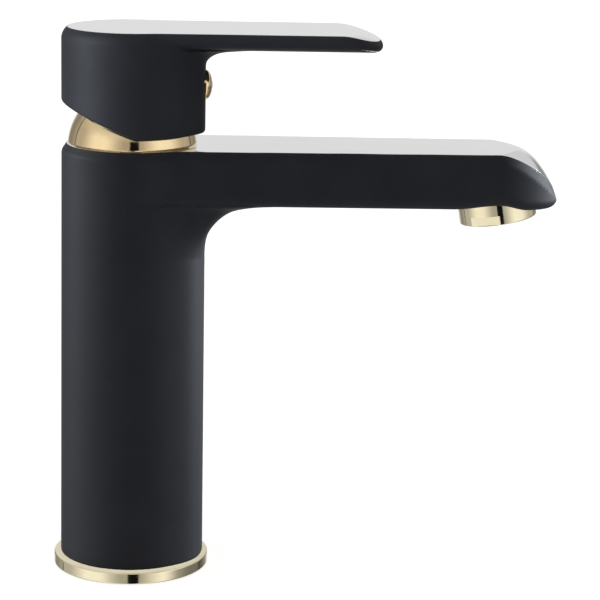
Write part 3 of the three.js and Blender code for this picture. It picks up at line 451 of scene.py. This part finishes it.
def turned(name, profile, place, segments, limit=None):
    """Turns a closed profile about Z. place maps local points and directions to the frame.

    limit(angle, height) gives the direction and the distance of a flat, or None where it is round.
    """
    profile = np.array(profile, float)
    ahead = np.roll(profile, -1, 0) - profile
    r_next, z_next = np.roll(profile, -1, 0).T
    if np.sum(profile[:, 0] * z_next - r_next * profile[:, 1]) < 0:
        profile = profile[::-1]
        ahead = np.roll(profile, -1, 0) - profile
    outward = np.stack([ahead[:, 1], -ahead[:, 0]], 1) * np.linalg.norm(ahead, axis=1)[:, None]
    outward = outward + np.roll(outward, 1, 0)
    outward /= np.maximum(np.linalg.norm(outward, axis=1), 1e-12)[:, None]
    angles = np.arange(segments) * 2 * math.pi / segments
    points, normals, rings = [], [], []
    for (r, z), (nr, nz) in zip(profile, outward):
        if r < TINY:
            rings.append([len(points)] * segments)
            points.append((0, 0, z))
            normals.append((0, 0, math.copysign(1, nz)))
            continue
        rings.append(list(range(len(points), len(points) + segments)))
        for a in angles:
            c, s = math.cos(a), math.sin(a)
            flat = limit(a, z) if limit else None
            if flat and r * math.cos(a - flat[0]) > flat[1]:
                shrunk = flat[1] / math.cos(a - flat[0])
                straight = (math.cos(flat[0]), math.sin(flat[0]), 0)
                points.append((shrunk * c, shrunk * s, z))
                normals.append(straight if abs(nr) > 0.7 else (nr * c, nr * s, nz))
            else:
                points.append((r * c, r * s, z))
                normals.append((nr * c, nr * s, nz))
    faces = []
    for i, ring in enumerate(rings):
        above = rings[(i + 1) % len(rings)]
        for j in range(segments):
            k = (j + 1) % segments
            corners = list(dict.fromkeys([ring[j], ring[k], above[k], above[j]]))
            if len(corners) > 2:
                faces.append(corners)
    points, normals = place(np.array(points), np.array(normals))
    return new_mesh(name, points, faces, normals)


def upright(points, normals):
    return points, normals


def along_x(points, normals):
    """Local Z points along +X at the button's height."""
    def turn(v):
        return np.stack([v[:, 2], v[:, 1], -v[:, 0]], 1)
    return turn(points) + np.array([0, 0, BUTTON_Z]), turn(normals)


def at_aerator(points, normals):
    axes = np.stack([AERATOR_X, AERATOR_Y, AERATOR_UP])
    return points @ axes + AERATOR_AT, normals @ axes


def arc(radius, centre_z, low, high, steps):
    """Points of a circle about (0, centre_z), from one height to another."""
    heights = np.linspace(low, high, steps)
    return [(math.sqrt(max(radius**2 - (h - centre_z) ** 2, 0)), h) for h in heights]


# ---- Materials ----


class Finish:
    """A Principled material whose nodes are added one by one, in the piece's own millimetres."""

    def __init__(self, name):
        self.material = bpy.data.materials.new(name)
        self.material.use_nodes = True
        self.tree = self.material.node_tree
        self.shader = self.tree.nodes["Principled BSDF"]
        place = self.tree.nodes.new("ShaderNodeTexCoord")
        self.where = self.math("MULTIPLY", place.outputs["Object"], (1 / MM,) * 3, vector=True)

    def feed(self, socket, value):
        if isinstance(value, bpy.types.NodeSocket):
            self.tree.links.new(value, socket)
        elif hasattr(socket.default_value, "__len__") and len(socket.default_value) == 4:
            socket.default_value = (*value, 1)
        else:
            socket.default_value = value

    def set(self, **values):
        for name, value in values.items():
            self.feed(self.shader.inputs[name.replace("_", " ")], value)
        return self

    def math(self, operation, a, b=0.0, vector=False, clamp=False):
        node = self.tree.nodes.new("ShaderNodeVectorMath" if vector else "ShaderNodeMath")
        node.operation = operation
        if not vector:
            node.use_clamp = clamp
        self.feed(node.inputs[0], a)
        self.feed(node.inputs[1], b)
        return node.outputs[0]

    def noise(self, size, detail=3.0, roughness=0.5, stretch=(1, 1, 1)):
        """Noise whose features are about size millimetres across."""
        node = self.tree.nodes.new("ShaderNodeTexNoise")
        scaled = self.math("MULTIPLY", self.where, tuple(s / size for s in stretch), vector=True)
        self.feed(node.inputs["Vector"], scaled)
        node.inputs["Scale"].default_value = 1.0
        node.inputs["Detail"].default_value = detail
        node.inputs["Roughness"].default_value = roughness
        return node.outputs[0]

    def spread(self, value, low, high, start=0.3, end=0.7):
        """Maps value from start..end to low..high."""
        node = self.tree.nodes.new("ShaderNodeMapRange")
        for name, number in (("From Min", start), ("From Max", end), ("To Min", low), ("To Max", high)):
            self.feed(node.inputs[name], number)
        self.feed(node.inputs["Value"], value)
        return node.outputs[0]

    def blend(self, factor, a, b):
        node = self.tree.nodes.new("ShaderNodeMix")
        node.data_type = "RGBA"
        self.feed(node.inputs["Factor"], factor)
        self.feed(node.inputs[6], a)
        self.feed(node.inputs[7], b)
        return node.outputs[2]

    def bump(self, height, distance):
        """distance is in millimetres."""
        node = self.tree.nodes.new("ShaderNodeBump")
        node.inputs["Strength"].default_value = 1.0
        node.inputs["Distance"].default_value = distance * MM
        self.feed(node.inputs["Height"], height)
        return self.set(Normal=node.outputs[0])

    def attribute(self, name):
        node = self.tree.nodes.new("ShaderNodeAttribute")
        node.attribute_name = name
        return node.outputs["Fac"]

    def pointiness(self):
        return self.tree.nodes.new("ShaderNodeNewGeometry").outputs["Pointiness"]


PAINT = (0.0068, 0.0074, 0.0106)
PAINT_LIGHT = (0.0094, 0.0101, 0.0136)
PLATE = (0.92, 0.92, 0.935)
PLATE_SMEARED = tuple(c * 0.965 for c in PLATE)
RUBBED = (0.035, 0.036, 0.040)
GOLD_WORN = (0.93, 0.84, 0.64)


def black_paint():
    """Satin black powder coat, and the polished plated top face inside its edge."""
    f = Finish("black_paint")
    inside = f.attribute("inside_edge")
    face = f.spread(inside, 0.0, 1.0, 0.0, 0.06)
    edge = f.spread(f.math("ABSOLUTE", inside), 1.0, 0.0, 0.05, 0.9)
    patches = f.noise(14.0, 4.0)
    grain = f.noise(0.45, 3.0, 0.6)
    rub = f.math("MULTIPLY", edge, f.spread(f.noise(2.6, 5.0, 0.65), 0.0, 1.0, 0.45, 0.75), clamp=True)
    paint = f.blend(f.spread(patches, 0.0, 1.0), PAINT, PAINT_LIGHT)
    paint = f.blend(f.math("MULTIPLY", rub, 0.35), paint, RUBBED)
    smear = f.noise(9.0, 5.0, 0.6, (0.35, 1.6, 1.0))
    plate = f.blend(f.spread(smear, 0.0, 1.0), PLATE, PLATE_SMEARED)
    satin = f.math("ADD", f.spread(grain, 0.56, 0.66), f.math("MULTIPLY", rub, -0.10))
    gloss = f.spread(smear, 0.05, 0.11)
    f.set(Base_Color=f.blend(face, paint, plate), Metallic=face, Specular_IOR_Level=0.20)
    on_paint = f.math("MULTIPLY", satin, f.math("SUBTRACT", 1.0, face))
    f.set(Roughness=f.math("ADD", on_paint, f.math("MULTIPLY", gloss, face)))
    peel = f.math("ADD", f.math("MULTIPLY", f.noise(1.1, 2.0), 0.7), f.math("MULTIPLY", grain, 0.3))
    height = f.math("MULTIPLY", peel, f.math("SUBTRACT", 1.0, f.math("MULTIPLY", face, 0.97)))
    return f.bump(height, 0.02).material


def gold_plate(name, colour, deep):
    f = Finish(name)
    smear = f.noise(5.0, 5.0, 0.6)
    hairs = f.noise(0.25, 2.0, 0.5, (1, 1, 0.08))
    worn = f.spread(f.pointiness(), 0.0, 1.0, 0.52, 0.62)
    colour = f.blend(f.spread(smear, 0.0, 1.0), colour, deep)
    colour = f.blend(f.math("MULTIPLY", worn, 0.25), colour, GOLD_WORN)
    rough = f.math("ADD", f.spread(smear, 0.045, 0.10), f.spread(hairs, 0.0, 0.03))
    f.set(Base_Color=colour, Metallic=1.0, Roughness=rough)
    return f.bump(hairs, 0.0012).material


def brass():
    f = Finish("brass")
    lines = f.noise(0.18, 2.0, 0.5, (0.15, 0.15, 1.0))
    tarnish = f.noise(3.0, 5.0, 0.65)
    colour = f.blend(f.spread(tarnish, 0.0, 1.0), (0.72, 0.55, 0.30), (0.50, 0.34, 0.16))
    rough = f.spread(f.math("ADD", lines, tarnish), 0.25, 0.48, 0.7, 1.3)
    f.set(Base_Color=colour, Metallic=1.0, Roughness=rough)
    return f.bump(lines, 0.01).material


def steel():
    f = Finish("steel")
    lines = f.noise(0.15, 2.0, 0.5, (1.0, 0.12, 1.0))
    cloud = f.spread(f.noise(2.0, 4.0), 0.0, 1.0)
    f.set(Base_Color=f.blend(cloud, (0.56, 0.57, 0.58), (0.47, 0.48, 0.50)))
    f.set(Metallic=1.0, Roughness=f.spread(lines, 0.22, 0.40))
    return f.bump(lines, 0.006).material


def rubber():
    f = Finish("rubber")
    dust = f.noise(1.8, 5.0, 0.7)
    dusty = f.spread(dust, 0.0, 1.0, 0.4, 0.8)
    f.set(Base_Color=f.blend(dusty, (0.016, 0.016, 0.017), (0.045, 0.043, 0.041)))
    f.set(Roughness=f.spread(dust, 0.62, 0.82), Specular_IOR_Level=0.35)
    return f.bump(f.noise(0.25, 3.0), 0.02).material


def ceramic():
    f = Finish("ceramic")
    speck = f.noise(0.35, 4.0, 0.6)
    f.set(Base_Color=f.blend(f.spread(speck, 0.0, 1.0), (0.84, 0.82, 0.77), (0.74, 0.71, 0.66)))
    f.set(Roughness=f.spread(f.noise(2.5, 3.0), 0.12, 0.26))
    return f.bump(speck, 0.003).material


def moulded(name, colour, shade, rough):
    f = Finish(name)
    flow = f.noise(4.0, 4.0, 0.55)
    spark = f.noise(0.22, 2.0, 0.5)
    scuff = f.spread(f.pointiness(), 0.0, 1.0, 0.52, 0.60)
    mixed = f.blend(f.spread(flow, 0.0, 1.0), colour, shade)
    pale = tuple(min(1, c * 1.3 + 0.02) for c in colour)
    f.set(Base_Color=f.blend(f.math("MULTIPLY", scuff, 0.2), mixed, pale))
    f.set(Roughness=f.spread(f.math("ADD", flow, spark), rough - 0.06, rough + 0.08, 0.7, 1.3))
    return f.bump(spark, 0.008).material


finishes = {
    "black_paint": black_paint(),
    "gold_plate": gold_plate("gold_plate", (0.95, 0.755, 0.455), (0.90, 0.69, 0.39)),
    "brass": brass(),
    "steel": steel(),
    "rubber": rubber(),
    "ceramic": ceramic(),
    "white_plastic": moulded("white_plastic", (0.78, 0.78, 0.74), (0.70, 0.70, 0.65), 0.45),
    "grey_plastic": moulded("grey_plastic", (0.24, 0.25, 0.27), (0.18, 0.19, 0.20), 0.45),
    "red_plastic": moulded("red_plastic", (0.24, 0.028, 0.018), (0.17, 0.018, 0.012), 0.28),
}
# The ring and the aerator are plated paler than the dome
pale_gold = gold_plate("pale_gold_plate", (0.94, 0.85, 0.60), (0.89, 0.79, 0.53))
for subpart in frame["record"]["subparts"]:
    slots = frame["nodes"][subpart["node"]].data.materials
    slots.clear()
    slots.append(finishes[subpart["material_slot"]])

# ---- Pieces ----

ABOVE_UNDER_EDGE = 8
CLEAR_OF_UNDER = 10.0
FACE_DEPTH = 3.5
OUTSIDE = -5.0


def top_inset(outline, bar):
    """How far inside the top face's edge a point lies. Points well below the face count as outside."""
    def inset(points):
        x, y, z = points.T
        height, steep = bar_top(x, y, bar)
        within = -outline(x, y, np.maximum(z, bar.under + ABOVE_UNDER_EDGE)) - bar.edge[0]
        return np.where((z - height) / steep > -FACE_DEPTH, within, OUTSIDE)
    return inset


def handle_outline(x, y, z):
    sides = bar_sides(x, y, z + CLEAR_OF_UNDER, LEVER)
    return smooth_min(np.hypot(x, y) - COLUMN_R, sides, 1.2)


# Grid lines are closest where edges are
coarse = 1
body_grid = (
    spans(
        (-25.5, -19, 0.5 * coarse), (-19, 9, 0.9 * coarse), (9, 44, 0.55 * coarse), (44, 106, 2.5),
        (106, 146.5, 0.5 * coarse),
    ),
    spans((-25.5, -16, 0.5 * coarse), (-16, 16, 1.0 * coarse), (16, 25.5, 0.5 * coarse)),
    spans(
        (0.4, 6.4, 0.5 * coarse), (6.4, 18, 1.2), (18, 105, 3.0), (105, 134, 0.65 * coarse),
        (134, 144, 1.0), (144, 149.6, 0.35 * coarse),
    ),
)
body = piece(
    "body_shell",
    field_mesh("body_shell", body_field, body_grid, top_inset(body_outline, SPOUT)),
    "body", "black_paint", finishes["black_paint"], "body_casting",
)
handle_grid = (
    spans(
        (-25, -16, 0.45 * coarse), (-16, 12, 0.8 * coarse), (12, 33, 0.45 * coarse), (33, 68, 2.0),
        (68, 86.2, 0.4 * coarse),
    ),
    spans((-25, -17, 0.4 * coarse), (-17, 17, 0.9 * coarse), (17, 25, 0.4 * coarse)),
    spans(
        (152.5, 164, 0.45 * coarse), (164, 173, 0.9 * coarse), (173, 184, 0.5 * coarse),
        (184, 188.8, 0.32 * coarse),
    ),
)
handle = piece(
    "handle_shell",
    field_mesh("handle_shell", handle_field, handle_grid, top_inset(handle_outline, LEVER)),
    "lever", "black_paint", finishes["black_paint"], "handle",
)


def turned_piece(name, profile, place, segments, body_name, material, slot, node, limit=None):
    mesh = turned(name, profile, place, segments, limit)
    return piece(name, mesh, body_name, slot, material, node)


RING_R = RING_HI[0]
RING_BORE_R = 20.8
RING_STEP_Z = 2.5
RING_LIP_R = RING_R - 1.35
ring_profile = filleted([
    (RING_BORE_R, RING_STEP_Z), (RING_LIP_R, RING_STEP_Z), (RING_LIP_R, RING_LO[2]),
    (RING_R, RING_LO[2]), (RING_R, RING_HI[2]), (RING_BORE_R, RING_HI[2]),
], 0.5)
turned_piece(
    "base_ring_turned", ring_profile, upright, 192, "body", pale_gold, "gold_plate", "base_ring",
)

DOME_R = 22.0
DOME_INNER_R = 20.8
DOME_FOOT_R = 20.3
DOME_HOLE_R = 16.5
dome_top = PIVOT_Z + math.sqrt(DOME_R**2 - DOME_HOLE_R**2)
outside = arc(DOME_R, PIVOT_Z, DOME_LO[2], dome_top, 28)
inside = arc(DOME_INNER_R, PIVOT_Z, dome_top - 0.6, DOME_LO[2] + 2.4, 24)
dome_profile = [*outside, *inside, (DOME_FOOT_R, DOME_LO[2])]
turned_piece(
    "dome_turned", dome_profile, upright, 192, "body", finishes["gold_plate"], "gold_plate",
    "cartridge_dome",
)

BUTTON_R = 5.05
BUTTON_CHAMFER = 0.3
BUTTON_SIDE = 3.4  # straight part of its side
BUTTON_BULGE = 2.3
INSERT_SEAT_R = 2.0
BUTTON_BACK = BUTTON_LO[0]
bulge = [
    (BUTTON_R * math.cos(a), BUTTON_BACK + BUTTON_SIDE + BUTTON_BULGE * math.sin(a))
    for a in np.linspace(0, math.acos(INSERT_SEAT_R / BUTTON_R), 14)
]
seat_depth = INSERT_LO[0] - GAP
button_profile = [
    (0, BUTTON_BACK), (BUTTON_R - BUTTON_CHAMFER, BUTTON_BACK), (BUTTON_R, BUTTON_BACK + BUTTON_CHAMFER),
    *bulge, (INSERT_SEAT_R, seat_depth), (0, seat_depth),
]
turned_piece(
    "index_button_turned", button_profile, along_x, 96, "lever", finishes["gold_plate"], "gold_plate",
    "index_button",
)

INSERT_R = 1.7
INSERT_FRONT = INSERT_HI[0]
insert_profile = [
    (0, INSERT_LO[0]), (INSERT_R, INSERT_LO[0]), (INSERT_R, INSERT_FRONT - 0.45),
    (1.55, INSERT_FRONT - 0.25), (1.2, INSERT_FRONT - 0.08), (0.6, INSERT_FRONT - 0.01), (0, INSERT_FRONT),
]
turned_piece(
    "index_insert_turned", insert_profile, along_x, 64, "lever", finishes["red_plastic"], "red_plastic",
    "index_insert",
)

AERATOR_R = 13.2
AERATOR_LIP_R = 9.7
AERATOR_LIP_TOP = 1.6
AERATOR_BORE_R = 10.7
AERATOR_THREAD_R = 12.0
AERATOR_RIM_TOP = 7.5
AERATOR_TOP = 14.0
FLAT_ANGLE = math.radians(-114.6)
FLAT_R = 12.2
FLAT_TOP = 3.21
FLAT_LEVELS = (3.17, 3.2, 3.22, 3.25)  # rows of points either side of the flats' top


def wrench_flats(angle, height):
    if not 0 < height < FLAT_TOP:
        return None
    for turn in (FLAT_ANGLE, FLAT_ANGLE + math.pi):
        if math.cos(angle - turn) > 0.8:
            return turn, FLAT_R
    return None


shell = filleted([
    (AERATOR_LIP_R, 0), (AERATOR_R, 0), (AERATOR_R, AERATOR_RIM_TOP), (AERATOR_THREAD_R, AERATOR_RIM_TOP),
    (AERATOR_THREAD_R, AERATOR_TOP), (AERATOR_BORE_R, AERATOR_TOP), (AERATOR_BORE_R, AERATOR_LIP_TOP),
    (AERATOR_LIP_R, AERATOR_LIP_TOP),
], 0.35, 4)
wall = int(np.argmax((shell[:, 0] > AERATOR_R - 0.01) & (shell[:, 1] < FLAT_TOP)))
shell = np.insert(shell, wall + 1, [(AERATOR_R, level) for level in FLAT_LEVELS], 0)
turned_piece(
    "aerator_shell_turned", shell, at_aerator, 192, "body", pale_gold, "gold_plate", "aerator_shell",
    wrench_flats,
)

# ---- Floor, light and camera ----

FLOOR_HALF = 8  # metres
floor_mesh = bpy.data.meshes.new("floor")
floor_corners = [(-1, -1), (1, -1), (1, 1), (-1, 1)]
floor_mesh.from_pydata([(x * FLOOR_HALF, y * FLOOR_HALF, 0) for x, y in floor_corners], [], [(0, 1, 2, 3)])
floor = new_object("floor", floor_mesh)
floor_finish = Finish("floor_finish").set(
    Base_Color=(0.80, 0.80, 0.80), Roughness=0.9, Specular_IOR_Level=0.0,
    Emission_Color=(1, 1, 1), Emission_Strength=0.62,
)
floor_mesh.materials.append(floor_finish.material)
floor.visible_glossy = False


def studio():
    """A tent with a soft box on either side, a dark gap in front for the camera and two thin seams behind."""
    world = bpy.data.worlds.new("studio")
    bpy.context.scene.world = world
    world.use_nodes = True
    tree = world.node_tree

    def link(socket, value):
        if isinstance(value, bpy.types.NodeSocket):
            tree.links.new(value, socket)
        else:
            socket.default_value = value

    def calc(operation, a, b=0.0):
        node = tree.nodes.new("ShaderNodeMath")
        node.operation = operation
        for socket, value in zip(node.inputs, (a, b)):
            link(socket, value)
        return node.outputs[0]

    def ramp(value, start, end, low=0.0, high=1.0):
        node = tree.nodes.new("ShaderNodeMapRange")
        node.interpolation_type = "SMOOTHSTEP"
        for name, number in (("From Min", start), ("From Max", end), ("To Min", low), ("To Max", high)):
            node.inputs[name].default_value = number
        link(node.inputs["Value"], value)
        return node.outputs[0]

    # turn and rise are the direction's azimuth and elevation in degrees
    way = tree.nodes.new("ShaderNodeTexCoord").outputs["Generated"]
    parts = tree.nodes.new("ShaderNodeSeparateXYZ")
    link(parts.inputs[0], way)
    x, y, z = parts.outputs
    turn = calc("MULTIPLY", calc("ARCTAN2", x, calc("MULTIPLY", y, -1.0)), 180 / math.pi)
    rise = calc("MULTIPLY", calc("ARCSINE", z), 180 / math.pi)

    def window(centre, half, soft):
        off = calc("ABSOLUTE", calc("SUBTRACT", turn, centre))
        return ramp(off, half - soft, half + soft, 1.0, 0.0)

    def mixed(factor, a, b):
        kept = calc("MULTIPLY", a, calc("SUBTRACT", 1.0, factor))
        return calc("ADD", kept, calc("MULTIPLY", b, factor))

    round_way = calc("ABSOLUTE", turn)
    low = ramp(rise, 6.0, 12.0, 1.0, 0.0)
    gap = calc("MULTIPLY", window(5.2, 8.2, 0.6), ramp(rise, 18.0, 20.0, 1.0, 0.0))
    right_seam = calc("MULTIPLY", window(127.0, 1.6, 0.5), low)
    seam = calc("MAXIMUM", window(-121.0, 1.3, 0.5), right_seam)
    # Around the tent: dim in front, bright at 60 degrees, dim again towards the back corners
    level = ramp(round_way, 10.0, 52.0, 0.40, 1.0)
    level = calc("MULTIPLY", level, ramp(round_way, 64.0, 106.0, 1.0, 0.47))
    level = calc("MULTIPLY", level, ramp(round_way, 112.0, 142.0, 1.0, 0.55))
    level = mixed(ramp(round_way, 150.0, 165.0), level, 0.76)
    # The floor's right side is dimmer, and overhead it is even
    shade = calc("MULTIPLY", ramp(turn, 50.0, 80.0), ramp(turn, 132.0, 150.0, 1.0, 0.0))
    shade = calc("MULTIPLY", shade, ramp(rise, -11.0, -4.0, 1.0, 0.0))
    level = calc("MULTIPLY", level, calc("SUBTRACT", 1.0, calc("MULTIPLY", shade, 0.62)))
    back_right = calc("MULTIPLY", ramp(turn, 108.0, 124.0), ramp(rise, 8.0, 14.0))
    level = mixed(back_right, level, 0.64)
    level = mixed(ramp(rise, 14.0, 34.0), level, 0.66)
    level = calc("MULTIPLY", level, calc("SUBTRACT", 1.0, calc("MULTIPLY", seam, 0.80)))
    level = calc("MULTIPLY", level, calc("SUBTRACT", 1.0, calc("MULTIPLY", gap, 0.985)))
    back = tree.nodes["Background"]
    link(back.inputs["Strength"], level)
    back.inputs["Color"].default_value = (1, 1, 1, 1)


studio()
# The gold parts mirror the tent, not the dark column
body.visible_glossy = False

LAMP_COLOUR = (0.86, 0.93, 1.0)
LAMP_TARGET = np.array([0.0, 0.0, 0.1])


def posed(x_axis, y_axis, z_axis, place):
    matrix = np.eye(4)
    matrix[:3, 0], matrix[:3, 1], matrix[:3, 2], matrix[:3, 3] = x_axis, y_axis, z_axis, place
    return Matrix(matrix.tolist())


def side_light(name, lit, azimuth, elevation, distance, width, height, power):
    """A soft box that faces the column and lights one piece only. Degrees, metres and watts."""
    lamp = bpy.data.lights.new(name, "AREA")
    lamp.shape = "RECTANGLE"
    lamp.size, lamp.size_y, lamp.energy = width, height, power
    lamp.color = LAMP_COLOUR
    made = new_object(name, lamp)
    a, e = math.radians(azimuth), math.radians(elevation)
    away = np.array([math.sin(a) * math.cos(e), -math.cos(a) * math.cos(e), math.sin(e)])
    side = np.array([math.cos(a), math.sin(a), 0.0])
    made.matrix_world = posed(side, np.cross(away, side), away, LAMP_TARGET + away * distance)
    receivers = bpy.data.collections.new(name + "_receivers")
    receivers.objects.link(lit)
    made.light_linking.receiver_collection = receivers


side_light("body_left", body, -96, 8, 1.1, 0.5, 1.0, 17)
side_light("body_right", body, 112, 5.5, 1.1, 0.5, 0.36, 15)
side_light("handle_left", handle, -74, 8, 1.1, 0.5, 1.0, 26)

# The camera: degrees, millimetres, and its lens for a 36 mm sensor
CAMERA_TURN = (2.28, 12.8, 1.14)
CAMERA_AT = (25.96, -801.11, 276.75)
CAMERA_LENS = 143.03
yaw, pitch, roll = (math.radians(a) for a in CAMERA_TURN)
ahead = np.array([math.sin(yaw) * math.cos(pitch), math.cos(yaw) * math.cos(pitch), -math.sin(pitch)])
level_right = np.array([math.cos(yaw), -math.sin(yaw), 0.0])
level_up = np.cross(level_right, ahead)
right = math.cos(roll) * level_right + math.sin(roll) * level_up
up = -math.sin(roll) * level_right + math.cos(roll) * level_up
camera_data = bpy.data.cameras.new("camera")
camera_data.sensor_width = 36.0
camera_data.lens = CAMERA_LENS
camera = new_object("camera", camera_data)
camera.matrix_world = posed(right, up, -ahead, np.array(CAMERA_AT) * MM)
bpy.context.scene.camera = camera
bpy.context.scene.view_settings.view_transform = "Standard"
